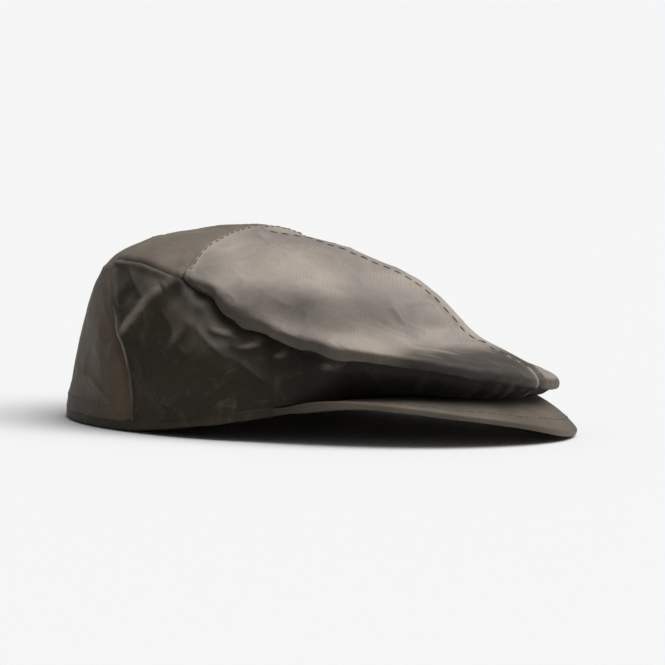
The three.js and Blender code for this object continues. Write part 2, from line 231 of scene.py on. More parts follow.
# Uneven cloth: a row for each layer of smooth noise, with its strength, the size of its
# features in mm and its seed
UNEVEN = {
    "jogs": [(0.5, 8.0, 2), (0.4, 3.2, 3)],
    "puckers": [(1.0, 3.4, 5)],
    "slow puckers": [(0.6, 6.5, 6)],
    "soft waves": [(1.0, 17.0, 1)],
    "folds": [(1.6, 15.0, 8)],
    "finer folds": [(1.8, 6.5, 9)],
    "seam rubbing": [(0.9, 6.0, 12)],
    "crease paleness": [(0.5, 4.0, 13)],
    # The unevenness of the painted light on top
    "light_painting": [(0.16, 14.0, 15)],
    "peak": [(0.16, 12.0, 4)],
    "hem_band": [(0.14, 5.0, 4)],
}
SEED_STEPS = (7.3, 3.1, 5.7)

# The peak and the hem stay level below this height, in mm, and wave fully above the blend
LEVEL_FOOT = 0.4
LEVEL_BLEND = 1.0

# How fast the hem's lip comes in where the cloth faces outwards and where it faces up
LIP_OUT = 2.5
LIP_UP = 2.0
LIP_LEVEL = 0.3

# The back seams are rubbed pale below this height or behind this Y, in mm. Beyond the blend
# they carry a painted shadow line and keep this least share of the rubbing
UPPER_SEAM = 34.0
CORNER_Y = 36.0
UPPER_BLEND = 4.0
LEAST_PALE = 0.1

# Light is painted onto the cloth where it faces up by more than this, and fully above the blend
PAINTED_LIGHT_FROM = 0.38
PAINTED_LIGHT_BLEND = 0.40

# Patches where the painted light on top is darker or paler, seen from the right front: across,
# up, half its width, half its height and the change in painted light, which paints shade below
# nought. The last is how fast it ends where the cloth turns away from the view
PAINTED_PATCHES = [
    (-13.0, 28.0, 11.0, 4.6, -0.52),
    (4.0, 26.0, 12.0, 4.6, -0.50),
    (30.0, 25.5, 9.0, 5.5, 0.4),
    (12.0, 34.5, 16.0, 2.6, 0.15),
    (34.0, 14.0, 17.0, 4.8, -1.5),
    (-13.0, 12.5, 13.0, 5.5, -0.45),
]
PAINTED_PATCH_EDGE = 4.0

# Painted shade darkens the peak towards its ends, under the crown, from this azimuth, in degrees
PEAK_SHADE_FROM = 45.0
PEAK_SHADE_BLEND = 10.0

# How much light is painted on the peak and the hem on top
SOLID_PAINTED_LIGHT = 0.12

# Painted shade darkens the side panels under the crown's overhang; beyond this azimuth the crown
# no longer hangs over them, in degrees
OVERHANG_SHADE_END = 74.0
OVERHANG_SHADE_BLEND = 34.0

# The waxed cotton's noises: scale, detail, roughness and distortion
COTTON_NOISES = {
    "patches": (38.0, 5.0, 0.6, 0.6),
    "streaks": (150.0, 6.0, 0.65, 1.2),
    "grain": (1500.0, 2.0, 0.5, 0.0),
}

# Fine cracks in the wax: their scale, how far they wander, their width and the patches with them
CRACK_SCALE = 95.0
CRACK_WANDER = 0.004
CRACK_WIDTH = 0.05
CRACKED = (0.48, 0.7)

# The scale of a texture whose bands are a metre apart
METRE_BANDS = 0.314

# How much each makes the cloth worn, raises it and roughens it
WEAR_FROM = {"even": 0.55, "streaks": 0.9, "cracks": 0.22}
RELIEF_FROM = {"cloth": 0.3, "grain": 0.3, "cracks": 0.8, "streaks": 0.9}
ROUGH_FROM = {"rubbed_and_highlit": 0.14, "patches": 0.10, "grain": 0.05}
WORN_RANGE = (0.12, 1.0)
RELIEF_STRENGTH = 0.55
RELIEF_HEIGHT = 0.16 * MM

# Patches of wax: their range and what they multiply the colour by, from dark to pale
PATCH_RANGE = (0.3, 0.72)
DARK_PATCH = (0.74, 0.74, 0.77)
PALE_PATCH = (1.2, 1.19, 1.15)

# Specks and the painted shade: how strongly they show and the shade of their colour, and the
# range of streaks that make specks
SPECKS = (0.35, 0.62)
PAINTED_SHADE_MIX = (0.85, 0.30)
SPECK_RANGE = (0.52, 0.8)

# The weave: how strongly its threads and the grain show, and the shade of their colour
WEAVE_DARK = {"cloth": 0.14, "grain": 0.1}
WEAVE_SHADE = 0.45

# The cloth's sheen: its weight and its roughness
SHEEN = (0.03, 0.5)

# A Mix node's sockets for colours: its share, its two colours and its result
MIX_SHARE = 0
MIX_FIRST = 6
MIX_SECOND = 7
MIX_RESULT = 2

# The sewing thread's strands: their scale, detail and range, their shades and their finish
STRAND_SCALE = 2600.0
STRAND_DETAIL = 2.0
STRAND_RANGE = (0.35, 0.7)
STRAND_SHADES = (0.6, 1.25)
THREAD_ROUGHNESS = 0.75
THREAD_GLOSS = 0.25

# Sewn seams of the crown: the panel that the stitches are on and the panel beside it
SEWN = [
    ("crown_front_right", "crown_rear"),
    ("crown_front_left", "crown_rear"),
    ("crown_front_right", "crown_front_left"),
]

# How far in from the seam the stitches lie, how far from its ends they stop, both in mm, and
# the share of the first that they keep from every rim
SEAM_INSET = 2.8
SEAM_END = 4.2
RIM_SHARE = 0.45

# How far a stitch's middle stands proud, as a share of half its thickness
STITCH_PROUD = 0.15

# The rows over the hem and along the peak: a step and how far round the edge is searched, where
# the hem's row starts and where the peak's ends, in degrees
ROW_STEP = 1.0
EDGE_SEARCH = 3.0
HEM_ROW_START = 106.0
PEAK_ROW_END = 50.0

# Further out and higher than any part of the cap, in metres
BEYOND = 0.2
ABOVE = 0.1

# The floor: its radius in metres, its corners and its finish
FLOOR_RADIUS = 14.0
FLOOR_CORNERS = 96
FLOOR_ROUGHNESS = 0.9
FLOOR_GLOSS = 0.15

# Soft light from overhead, which also lights the floor evenly: where it comes from, how wide
# it spreads in degrees and its strength
LIGHTS = [
    ("overhead", (0.16, -0.45, 1.0), 60.0, 3.1),
    ("front", (0.55, -0.95, 0.75), 40.0, 0.5),
]
SKY = (0.94, 0.95, 0.97, 1.0)
SKY_STRENGTH = 0.25

# The camera: its distance and the width that it sees there, in metres, its sensor in mm, and
# how high and how far across the middle of the picture is
CAMERA_DISTANCE = 3.0
FRAME_WIDTH = 156 * MM
SENSOR_WIDTH = 36.0
AIM_HEIGHT = 22 * MM
AIM_ACROSS = 2.0 * MM


def turned_view(azimuth, elevation):
    """Across, up and towards the camera for a view of the cap."""
    a, e = math.radians(azimuth), math.radians(elevation)
    towards = Vector((math.sin(a) * math.cos(e), -math.cos(a) * math.cos(e), math.sin(e)))
    across = Vector((math.cos(a), math.sin(a), 0.0))
    return across, towards.cross(across), towards


def azimuths_of(points):
    """How far round from the front each point is, in degrees, the wearer's right positive."""
    return np.degrees(np.arctan2(-points[:, 0], -(points[:, 1] - AXIS_Y)))


def outward(azimuth):
    """The level way out from the crown's axis at an azimuth."""
    angle = math.radians(azimuth)
    return Vector((-math.sin(angle), -math.cos(angle), 0.0))


def blank_mesh(node):
    """A copy of a solid's mesh, merged into one closed surface."""
    bm = bmesh.new()
    bm.from_mesh(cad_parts[node].data)
    bmesh.ops.remove_doubles(bm, verts=bm.verts, dist=WELD)
    return bm


def ways_out(bm):
    """For each point of a wall, the way to it from its partner on the wall's other face."""
    tree = KDTree(len(bm.verts))
    for vertex in bm.verts:
        tree.insert(vertex.co, vertex.index)
    tree.balance()
    bm.verts.ensure_lookup_table()
    ways = {}
    for vertex in bm.verts:
        near = tree.find_range(vertex.co, CAD_WALL + WALL_SLACK)
        partner = min(near, key=lambda found: abs(found[2] - CAD_WALL))
        ways[vertex] = vertex.co - partner[0]
    return ways


def outer_cloth(node):
    """The outer face of a panel's wall, as quads."""
    bm = blank_mesh(node)
    bm.verts.index_update()
    ways = ways_out(bm)
    highest = max(bm.verts, key=lambda vertex: vertex.co.z)
    found, waiting = {highest}, [highest]
    while waiting:
        vertex = waiting.pop()
        for edge in vertex.link_edges:
            other = edge.other_vert(vertex)
            if other not in found and ways[vertex].dot(ways[other]) > 0:
                found.add(other)
                waiting.append(other)
    spare = [face for face in bm.faces if not found.issuperset(face.verts)]
    bmesh.ops.delete(bm, geom=spare, context="FACES")
    bmesh.ops.remove_doubles(bm, verts=bm.verts, dist=RIM_MERGE)
    clear_rim(bm)
    inside = [vertex for vertex in bm.verts if not vertex.is_boundary]
    bmesh.ops.remove_doubles(bm, verts=inside, dist=CROWDED)
    joined(bm)
    return bm


def clear_rim(bm):
    """Takes out the points that crowd a panel's rim, which would pleat it when smoothed."""
    inside = [vertex for vertex in bm.verts if not vertex.is_boundary]
    points = np.array([vertex.co for vertex in inside])
    rim = [[np.array(end.co) for end in edge.verts] for edge in bm.edges if edge.is_boundary]
    gaps = np.min([line_distance(points, start, end)[0] for start, end in rim], axis=0)
    close = [vertex for vertex, gap in zip(inside, gaps) if gap < RIM_CLEAR]
    bmesh.ops.dissolve_verts(bm, verts=close)
    bmesh.ops.triangulate(bm, faces=bm.faces)


def joined(bm):
    """Joins pairs of triangles into quads."""
    bmesh.ops.join_triangles(
        bm,
        faces=bm.faces,
        angle_face_threshold=math.radians(QUAD_FACES),
        angle_shape_threshold=math.radians(QUAD_CORNERS),
    )


def piece_of(bm, name):
    """A new piece in the scene, made from a bmesh."""
    mesh = bpy.data.meshes.new(name)
    bm.to_mesh(mesh)
    bm.free()
    piece = bpy.data.objects.new(name, mesh)
    bpy.context.scene.collection.objects.link(piece)
    return piece


def refined(bm, name, levels, crease_over=None):
    """A smooth mesh from a coarse bmesh, with its sharp edges kept where an angle is given."""
    if crease_over is not None:
        layer = bm.edges.layers.float.new("crease_edge")
        for edge in bm.edges:
            if len(edge.link_faces) == 2 and edge.calc_face_angle() > crease_over:
                edge[layer] = 1.0
    piece = piece_of(bm, name)
    coarse = piece.data
    smooth = piece.modifiers.new("Smooth", "SUBSURF")
    smooth.levels = smooth.render_levels = levels
    smooth.boundary_smooth = "PRESERVE_CORNERS"
    bpy.context.view_layer.update()
    shaped = piece.evaluated_get(bpy.context.evaluated_depsgraph_get())
    piece.data = bpy.data.meshes.new_from_object(shaped)
    piece.modifiers.clear()
    bpy.data.meshes.remove(coarse)
    return piece


def points_of(mesh):
    """The places of a mesh's points."""
    flat = np.zeros(len(mesh.vertices) * 3)
    mesh.vertices.foreach_get("co", flat)
    return flat.reshape(-1, 3)


def normals_of(mesh):
    """The ways that a mesh faces at its points."""
    flat = np.zeros(len(mesh.vertices) * 3)
    mesh.vertex_normals.foreach_get("vector", flat)
    return flat.reshape(-1, 3)


def edges_of(mesh):
    """The two points of each edge."""
    flat = np.zeros(len(mesh.edges) * 2, dtype=np.int32)
    mesh.edges.foreach_get("vertices", flat)
    return flat.reshape(-1, 2)


def move_points(mesh, points):
    """Puts a mesh's points in new places."""
    mesh.vertices.foreach_set("co", points.ravel())
    mesh.update()


def rim_points(mesh):
    """The points along a panel's open edges."""
    counts = np.zeros(len(mesh.edges), dtype=np.int32)
    flat = np.zeros(len(mesh.loops), dtype=np.int32)
    mesh.loops.foreach_get("edge_index", flat)
    np.add.at(counts, flat, 1)
    rim = np.unique(edges_of(mesh)[counts == 1])
    return points_of(mesh)[rim]


def nearest(points, targets):
    """How far each point is from the nearest target, and which target that is."""
    far = np.empty(len(points))
    which = np.empty(len(points), dtype=np.int64)
    for start in range(0, len(points), POINTS_AT_ONCE):
        part = points[start:start + POINTS_AT_ONCE]
        squared = ((part[:, None, :] - targets[None, :, :]) ** 2).sum(axis=2)
        index = squared.argmin(axis=1)
        which[start:start + POINTS_AT_ONCE] = index
        far[start:start + POINTS_AT_ONCE] = np.sqrt(squared[np.arange(len(part)), index])
    return far, which


def bump(distance, crest, width):
    """A rounded ridge across a line: one at its crest, nought well beyond its width in mm."""
    return np.exp(-(((distance / MM) - crest) / width) ** 2)


def noise_at(points, size, seed):
    """Smooth noise from -1 to 1 whose features are about the given size in mm."""
    shift = Vector([seed * step for step in SEED_STEPS])
    scale = 1.0 / (size * MM)
    return np.array([noise.noise(Vector(point) * scale + shift) for point in points])


def uneven(points, kind):
    """How one kind of unevenness varies over the points."""
    return sum(strength * noise_at(points, size, seed) for strength, size, seed in UNEVEN[kind])


def surface_of(*pieces):
    """One search tree over the faces of one or more pieces."""
    points, faces = [], []
    for piece in pieces:
        first = len(points)
        points.extend(vertex.co.copy() for vertex in piece.data.vertices)
        faces.extend([first + i for i in face.vertices] for face in piece.data.polygons)
    return BVHTree.FromPolygons(points, faces)


def crease_lines(surface):
    """The creases as pairs of points on the cloth, with their heights, widths and wear."""
    across, up, towards = turned_view(VIEW_AZIMUTH, VIEW_ELEVATION)
    lines = []
    for x0, y0, x1, y1, lift, width, pale in CREASES:
        ends = []
        for x, y in ((x0, y0), (x1, y1)):
            start = (across * x + up * y) * MM + towards
            ends.append(surface.ray_cast(start, -towards)[0])
        if all(ends):
            start, end = np.array(ends[0]), np.array(ends[1])
            further = CREASE_END * (end - start)
            lines.append((start - further, end + further, lift, width, pale))
    return lines


def line_distance(points, start, end):
    """How far each point is from a line, and how far along it that is, from nought to one."""
    run = end - start
    along = np.clip((points - start) @ run / (run @ run), 0.0, 1.0)
    return np.linalg.norm(points - start - along[:, None] * run, axis=1), along


def neighbour_sums(edges, count, ahead, behind):
    """For each point, the sum of a value over its edges, given for both ends of each edge."""
    total = np.zeros((count,) + ahead.shape[1:])
    np.add.at(total, edges[:, 0], ahead)
    np.add.at(total, edges[:, 1], behind)
    return total


def smoothed(mesh, values, passes):
    """Values at the points of a mesh, blended with those of their neighbours."""
    edges = edges_of(mesh)
    counts = np.bincount(edges.ravel(), minlength=len(values))
    for _ in range(passes):
        sums = neighbour_sums(edges, len(values), values[edges[:, 1]], values[edges[:, 0]])
        values = 0.5 * (values + (sums.T / counts).T)
    return values


def convexity(mesh, passes):
    """How far each point stands out from its neighbours, smoothed."""
    points, normals, edges = points_of(mesh), normals_of(mesh), edges_of(mesh)
    counts = np.bincount(edges.ravel(), minlength=len(points))
    spans = np.linalg.norm(points[edges[:, 0]] - points[edges[:, 1]], axis=1)
    span = neighbour_sums(edges, len(points), spans, spans) / counts
    proud = 2.0 * (points - smoothed(mesh, points, 1))
    return smoothed(mesh, (proud * normals).sum(axis=1) / span ** 2 * MM, passes)


def mark(mesh, name, values):
    """Stores a value for each point, which the materials read."""
    kind = "FLOAT_VECTOR" if values.ndim == 2 else "FLOAT"
    field = "vector" if values.ndim == 2 else "value"
    layer = mesh.attributes.new(name, kind, "POINT")
    layer.data.foreach_set(field, values.ravel().astype(np.float32))


def painted_light_share(mesh, strength):
    """How much light is painted on the cloth: most where it lies level, below nought where a patch
    paints shade.
    """
    points, normals = points_of(mesh), normals_of(mesh)
    upwards = normals[:, 2] + uneven(points, "light_painting")
    across, up, towards = turned_view(VIEW_AZIMUTH, VIEW_ELEVATION)
    # Painted light, strongest where the cloth faces up
    share = strength * np.clip((upwards - PAINTED_LIGHT_FROM) / PAINTED_LIGHT_BLEND, 0.0, 1.0)
    # Patches of painted light and painted shade, only where the cloth faces the view
    seen = np.clip(normals @ np.array(towards) * PAINTED_PATCH_EDGE, 0.0, 1.0)
    for x, y, half_width, half_height, change in PAINTED_PATCHES:
        beside = (points @ np.array(across) / MM - x) / half_width
        above = (points @ np.array(up) / MM - y) / half_height
        share += change * seen * np.exp(-beside ** 4 - above ** 4)
    return share


def mark_tones(mesh, bend, dark, strength):
    """Marks where light is painted on the cloth, and where shade is painted on it."""
    painted_light = painted_light_share(mesh, strength)
    mark(mesh, "painted_light", np.clip(painted_light, 0.0, 1.0))
    # Painted shade in concave bends, along the seam shadow lines, under the crown and in the dark
    # patches
    mark(mesh, "painted_shade", np.clip(np.maximum.reduce([-bend * BEND_SHADE, dark, -painted_light]), 0, 1))


def overhang_shade(points):
    """Painted shade on a side panel: most at the front, where the crown hangs over it."""
    return np.clip((OVERHANG_SHADE_END - np.abs(azimuths_of(points))) / OVERHANG_SHADE_BLEND, 0.0, 1.0)


def thread_directions(points, node):
    """Where each point lies on its flat panel, along the weave's two threads."""
    if node.startswith("crown_front"):
        return np.column_stack([points[:, 0], points[:, 1] - points[:, 2], 0 * points[:, 0]])
    ahead = points[:, 1] - AXIS_Y
    reach = np.hypot(points[:, 0], ahead)
    turn = np.arctan2(points[:, 0], ahead)
    return np.column_stack([turn * reach, points[:, 2] - reach, 0 * points[:, 0]])


def finish_piece(piece, node, finish):
    """Gives a dressed piece its material and puts it in its node's place."""
    piece.data.materials.clear()
    piece.data.materials.append(finish)
    piece.data.shade_smooth()
    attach(piece, "root")
    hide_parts(node)


# Materials


class Tone:
    """A socket's value in a material, to which Python's operators add Math nodes."""

    def __init__(self, finish, socket):
        self.finish = finish
        self.socket = socket

    def maths(self, operation, first, second):
        """The result of a Math node on two values."""
        return self.finish.add("ShaderNodeMath", {"operation": operation}, {0: first, 1: second})

    def __add__(self, other):
        return self.maths("ADD", self, other)

    def __radd__(self, other):
        return self.maths("ADD", other, self)

    def __sub__(self, other):
        return self.maths("SUBTRACT", self, other)

    def __rsub__(self, other):
        return self.maths("SUBTRACT", other, self)

    def __mul__(self, other):
        return self.maths("MULTIPLY", self, other)

    def __rmul__(self, other):
        return self.maths("MULTIPLY", other, self)

    def within(self, low, high):
        """Nought below the low value, one above the high value, smooth between."""
        settings = {"interpolation_type": "SMOOTHSTEP"}
        sockets = {"Value": self, "From Min": low, "From Max": high}
        return self.finish.add("ShaderNodeMapRange", settings, sockets)


class Finish:
    """A material and the one way in which its nodes are added."""

    def __init__(self, name):
        self.material = bpy.data.materials.new(name)
        self.material.use_nodes = True
        self.tree = self.material.node_tree
        self.tree.nodes.clear()

    def add(self, kind, settings, sockets, output=0):
        """Adds a node, with its settings and the values of its sockets, and gives an output."""
        node = self.tree.nodes.new(kind)
        for key, value in settings.items():
            setattr(node, key, value)
        for key, value in sockets.items():
            if isinstance(value, Tone):
                self.tree.links.new(value.socket, node.inputs[key])
            else:
                node.inputs[key].default_value = value
        return Tone(self, node.outputs[output])

    def mix(self, share, first, second, blend="MIX"):
        """Two colours in the given share of the second."""
        settings = {"data_type": "RGBA", "blend_type": blend}
        sockets = {MIX_SHARE: share, MIX_FIRST: first, MIX_SECOND: second}
        return self.add("ShaderNodeMix", settings, sockets, MIX_RESULT)

    def noise(self, where, scale, detail, roughness=0.5, distortion=0.0):
        """A cloudy pattern from nought to one."""
        sockets = {
            "Vector": where,
            "Scale": scale,
            "Detail": detail,
            "Roughness": roughness,
            "Distortion": distortion,
        }
        return self.add("ShaderNodeTexNoise", {"noise_dimensions": "3D"}, sockets)

    def attribute(self, name, output):
        """What is stored for each point of the mesh under a name."""
        return self.add("ShaderNodeAttribute", {"attribute_name": name}, {}, output)

    def places(self):
        """Where each point of the surface is on its piece."""
        return self.add("ShaderNodeTexCoord", {}, {}, "Object")

    def end(self, sockets):
        """The finished material, whose surface has the given values."""
        surface = self.add("ShaderNodeBsdfPrincipled", {}, sockets)
        node = self.tree.nodes.new("ShaderNodeOutputMaterial")
        self.tree.links.new(surface.socket, node.inputs["Surface"])
        return self.material


def shade(colour, by=1.0):
    """A colour made darker or paler."""
    return tuple(channel * by for channel in colour[:3]) + (1.0,)


def waxed_cotton(name, colour, worn, look):
    """Waxed cotton: a fine weave under wax, with painted shade in its hollows, painted light where
    it faces up, and paler where it is worn or a crease has a painted highlight.
    """
    finish = Finish(name)
    where = finish.places()
    threads = finish.attribute("threads", "Vector")
    wear_and_highlights = finish.attribute("wear_and_highlights", "Fac")
    painted_shade = finish.attribute("painted_shade", "Fac")
    painted_light = finish.attribute("painted_light", "Fac")

    patches = finish.noise(where, *COTTON_NOISES["patches"])
    streaks = finish.noise(where, *COTTON_NOISES["streaks"])
    grain = finish.noise(where, *COTTON_NOISES["grain"])
    cracks = wax_cracks(finish, where, streaks, patches)
    bands = METRE_BANDS / (look.weave * MM)
    cloth = threads_across(finish, threads, bands, "X") * 0.5
    cloth = cloth + threads_across(finish, threads, bands, "Y") * 0.5

    scuffs = WEAR_FROM["even"] + streaks * WEAR_FROM["streaks"]
    rubbed_and_highlit = (wear_and_highlights * scuffs + cracks * WEAR_FROM["cracks"]).within(*WORN_RANGE)
    # Painted light: the colour turns towards the pale colour where the cloth faces up
    tone = finish.mix(painted_light * look.light_painting, shade(colour), shade(look.painted_light))
    mottled = finish.mix(
        patches.within(*PATCH_RANGE),
        finish.mix(1.0, tone, shade(DARK_PATCH), "MULTIPLY"),
        finish.mix(1.0, tone, shade(PALE_PATCH), "MULTIPLY"),
    )
    specks, speck_shade = SPECKS
    speckled = finish.mix(
        streaks.within(*SPECK_RANGE) * specks,
        mottled,
        shade(worn, speck_shade),
    )
    # Painted shade: darker in hollows, along seam gaps, under the crown and in the dark patches
    painted_shade_share, painted_shade_tone = PAINTED_SHADE_MIX
    with_painted_shade = finish.mix(
        (painted_shade * painted_shade_share).within(0.0, 1.0),
        speckled,
        shade(colour, painted_shade_tone),
    )
    # Worn marks and the painted crease highlights, in the worn colour
    coloured = finish.mix(rubbed_and_highlit * look.wear_and_highlights, with_painted_shade, shade(worn))
    woven = finish.mix(
        cloth * WEAVE_DARK["cloth"] + grain * WEAVE_DARK["grain"],
        coloured,
        shade(colour, WEAVE_SHADE),
    )

    height = cloth * RELIEF_FROM["cloth"] + grain * RELIEF_FROM["grain"]
    height = height + cracks * RELIEF_FROM["cracks"] + streaks * RELIEF_FROM["streaks"]
    relief = finish.add(
        "ShaderNodeBump",
        {},
        {"Strength": RELIEF_STRENGTH, "Distance": RELIEF_HEIGHT, "Height": height},
    )
    rough = look.roughness + rubbed_and_highlit * ROUGH_FROM["rubbed_and_highlit"]
    rough = rough - patches * ROUGH_FROM["patches"] + grain * ROUGH_FROM["grain"]
    sheen, sheen_roughness = SHEEN
    return finish.end({
        "Base Color": woven,
        "Roughness": rough,
        "Specular IOR Level": look.gloss,
        "Sheen Weight": sheen,
        "Sheen Roughness": sheen_roughness,
        "Normal": relief,
    })


def wax_cracks(finish, where, streaks, patches):
    """Fine wandering cracks in the wax, in some patches only."""
    wander = {0: streaks, "Scale": CRACK_WANDER}
    push = finish.add("ShaderNodeVectorMath", {"operation": "SCALE"}, wander)
    warped = finish.add("ShaderNodeVectorMath", {"operation": "ADD"}, {0: where, 1: push})
    crackle = finish.add(
        "ShaderNodeTexVoronoi",
        {"feature": "DISTANCE_TO_EDGE"},
        {"Vector": warped, "Scale": CRACK_SCALE},
    )
    return (1.0 - crackle.within(0.0, CRACK_WIDTH)) * patches.within(*CRACKED)


def threads_across(finish, threads, bands, direction):
    """The weave's threads in one direction, as bands from nought to one."""
    settings = {"wave_type": "BANDS", "wave_profile": "SIN", "bands_direction": direction}
    return finish.add("ShaderNodeTexWave", settings, {"Vector": threads, "Scale": bands}, "Fac")


def thread_finish(colour):
    """Sewing thread, with fine strands."""
    finish = Finish("stitching_thread")
    where = finish.places()
    strands = finish.noise(where, STRAND_SCALE, STRAND_DETAIL)
    dark, pale = STRAND_SHADES
    tone = finish.mix(strands.within(*STRAND_RANGE), shade(colour, dark), shade(colour, pale))
    return finish.end({
        "Base Color": tone,
        "Roughness": THREAD_ROUGHNESS,
        "Specular IOR Level": THREAD_GLOSS,
    })


def floor_finish(colour):
    """The plain matt floor."""
    return Finish("studio_floor").end({
        "Base Color": colour,
        "Roughness": FLOOR_ROUGHNESS,
        "Specular IOR Level": FLOOR_GLOSS,
    })


# Settings


def colour_setting(name, description, default):
    """A colour that the user may change."""
    return FloatVectorProperty(
        name=name, description=description, default=default, size=4, min=0.0, max=1.0,
        subtype="COLOR",
    )


def number_setting(name, description, default):
    """A size or strength that the user may change."""
    return FloatProperty(name=name, description=description, default=default, min=0.0)


class CapClothSettings(bpy.types.PropertyGroup):
    """Sizes of the cloth, in millimetres."""

    wall: number_setting("Cloth", "Thickness of the cloth with its turned seams, in mm", 1.3)
    ripple: number_setting("Puckers", "Height of the puckers beside a rolled seam, in mm", 0.42)
    soft: number_setting("Soft waves", "Height of the cloth's slow waves, in mm", 0.45)
    crease: number_setting("Creases", "Height of the fine creases all over, in mm", 0.34)
    jog: number_setting("Seam jogs", "How far a rolled seam wanders up and down, in mm", 0.65)
    stitch: number_setting("Stitch", "Length of one stitch, in mm", 2.1)
    gap: number_setting("Stitch gap", "Gap between two stitches, in mm", 0.9)
    thread: number_setting("Thread", "Thickness of the sewing thread, in mm", 0.3)
    hem_row: number_setting("Hem stitches", "Height of the stitches over the hem, in mm", 3.4)
    peak_row: number_setting("Peak stitches", "How far in from the peak's edge, in mm", 3.2)


class CapLookSettings(bpy.types.PropertyGroup):
    """Colours and finish of the waxed cotton."""

    crown: colour_setting("Crown", "Colour of the top panels", (0.080, 0.068, 0.054, 1.0))
    rear: colour_setting("Rear", "Colour of the back panel", (0.080, 0.058, 0.035, 1.0))
    # Painted shade: the side panels get a far darker colour than the crown, for the shade they lie
    # in
    side: colour_setting("Sides", "Colour of the side panels", (0.023, 0.018, 0.010, 1.0))
    peak: colour_setting("Peak", "Colour of the peak", (0.098, 0.080, 0.057, 1.0))
    hem: colour_setting("Hem", "Colour of the turned hem", (0.030, 0.022, 0.013, 1.0))
    # The colour of the worn marks, also used for the painted crease highlights
    worn: colour_setting("Worn", "Colour where the wax is rubbed away", (0.30, 0.26, 0.20, 1.0))
    thread: colour_setting("Thread", "Colour of the sewing thread", (0.110, 0.094, 0.070, 1.0))
    floor: colour_setting("Floor", "Colour of the studio floor", (0.77, 0.77, 0.77, 1.0))
    # Painted light: the pale colour the cloth turns to where it faces up
    painted_light: colour_setting("Faded", "Colour where the cloth is sun-faded", (0.38, 0.329, 0.285, 1.0))
    # The strength of the painted light on cloth that faces up
    light_painting: number_setting("Fading", "Strength of the fading on level cloth", 1.0)
    weave: number_setting("Weave", "Spacing of the cloth's threads, in mm", 0.55)
    # The strength of the worn marks and of the painted crease highlights
    wear_and_highlights: number_setting("Wear", "Strength of the worn marks", 0.62)
    roughness: number_setting("Roughness", "Roughness of the wax", 0.56)
    gloss: number_setting("Gloss", "Strength of the wax's reflections", 0.18)


# Operators


def dressed(node):
    """The cloth piece that stands for a node."""
    return bpy.data.objects[node + "_cloth"]


def seam_reach(first, second):
    """The points of one panel's rim that lie along another panel."""
    rim, other = rim_points(first), rim_points(second)
    far, _ = nearest(rim, other)
    return rim[far < SEAM_REACH]


def seam_edges(panels):
    """For each panel, its seams: its rim there, how it lies, its side and the other's rim."""
    found = {node: [] for node in panels}
    for over, under, lie in SEAMS:
        for node, other, side in ((over, under, "over"), (under, over, "under")):
            points = seam_reach(panels[node].data, panels[other].data)
            if len(points):
                opposite = seam_reach(panels[other].data, panels[node].data)
                found[node].append((points, lie, side, opposite))
    hem = points_of(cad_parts["hem_band"].data)
    for node, piece in panels.items():
        rim = rim_points(piece.data)
        far, _ = nearest(rim, hem)
        if (far < HEM_REACH).any():
            found[node].append((rim[far < HEM_REACH], "hemmed", "over", None))
    return found


def seam_shadow(points, far, lie, side):
    """How dark the painted shadow line along a seam is, none where the seam is rubbed pale."""
    if lie == "rolled":
        return SEAM_SHADOW[side] * bump(far, 0.0, SEAM_SHADOW_WIDTH[side])
    if lie == "pointed":
        return SEAM_SHADOW[side] * upper_seam(points) * bump(far, 0.0, SEAM_SHADOW_WIDTH[side])
    return 0.0


def upper_seam(points):
    """High beside the seam between the corner and the cross seam, nought below and behind."""
    low = (UPPER_SEAM - points[:, 2] / MM) / UPPER_BLEND
    far_back = (points[:, 1] / MM - CORNER_Y) / UPPER_BLEND
    return 1.0 - np.clip(np.maximum(low, far_back), LEAST_PALE, 1.0)


def seam_lip(far, lie, side):
    """How far the cloth stands proud beside a seam, in mm."""
    return sum(height * bump(far, crest, width) for height, crest, width in SEAM_SHAPES[lie, side])


def rubbed_edge(points, far, lie):
    """How pale the edge that laps over is, beside its seam."""
    strength, crest, width = RUBBED[lie]
    if lie == "pointed":
        strength = strength * (1.0 - upper_seam(points))
    rub = np.clip(SEAM_RUB + uneven(points, "seam rubbing"), 0.0, 1.0)
    return strength * rub * bump(far, crest, width)


def jogs_of(along):
    """How far a rolled seam wanders up and down at points along it, in seam jogs."""
    across, _, _ = turned_view(VIEW_AZIMUTH, VIEW_ELEVATION)
    beside = along @ np.array(across)
    jogs = uneven(along, "jogs")
    for crest, rise, width in JOGS:
        jogs += rise * bump(beside, crest, width)
    return jogs


def puckers(along, far, side):
    """The puckers on one side of a rolled seam, as a share of the setting."""
    height, reach = PUCKERS[side]
    waves = uneven(along * PUCKER_SQUASH, "puckers") + uneven(along, "slow puckers")
    return height * waves * bump(far, PUCKER_CREST, reach)


def fine_creases(points):
    """Fine sharp folds all over the cloth, as a share of the setting."""
    folds = np.clip(1.0 - np.abs(uneven(points, "folds")), 0, 1)
    finer = np.clip(1.0 - np.abs(uneven(points, "finer folds")), 0, 1)
    return folds ** FOLD_POWER + FINER_SHARE * finer ** FOLD_POWER


